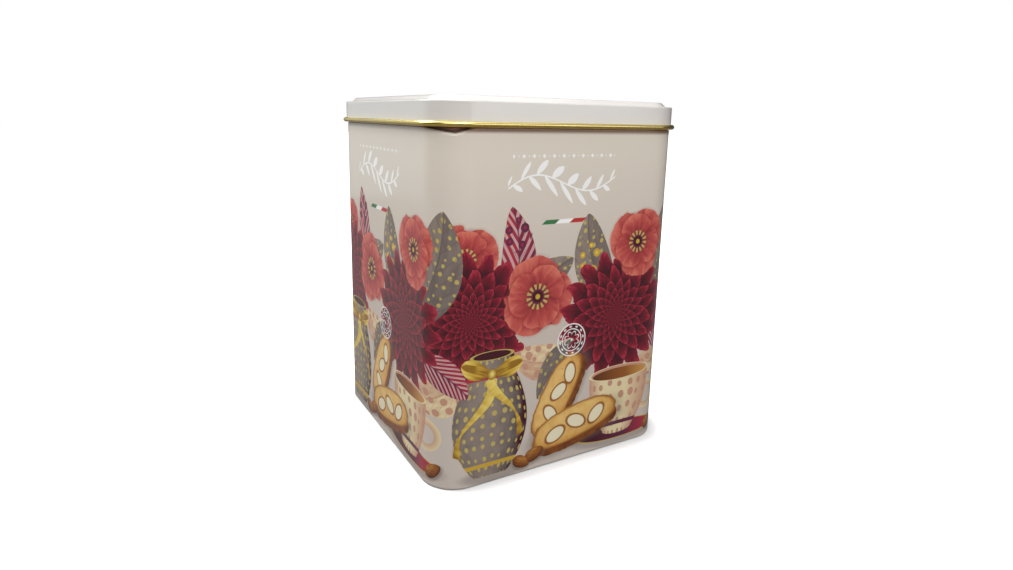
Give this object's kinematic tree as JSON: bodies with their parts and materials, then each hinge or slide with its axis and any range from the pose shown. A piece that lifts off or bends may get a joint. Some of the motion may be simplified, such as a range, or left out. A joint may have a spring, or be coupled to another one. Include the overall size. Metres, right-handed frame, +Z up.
{
  "type": "biscuit tin",
  "caption": "Shut square biscuit tin with rounded corners, printed walls and a plain slip lid with a gold curled edge and a raised top panel.",
  "frame": {"origin": "middle of the face the tin stands on", "axes": "+Z up through the lid, -Y the wide face in the picture, -X the face to its left"},
  "size_m": [0.1502, 0.1502, 0.19],
  "materials": {
    "printed_wall": "satin varnish over a colour print on tinplate",
    "lid_lacquer": "satin cream lacquer on tinplate",
    "curl_gold": "gold lacquer over bright tinplate on the lid's curled edge",
    "bare_tinplate": "bare tinplate on the base inside the rim"
  },
  "bodies": {
    "root": {"body": "printed_wall", "lid": "lid_lacquer"}
  },
  "joints": []
}
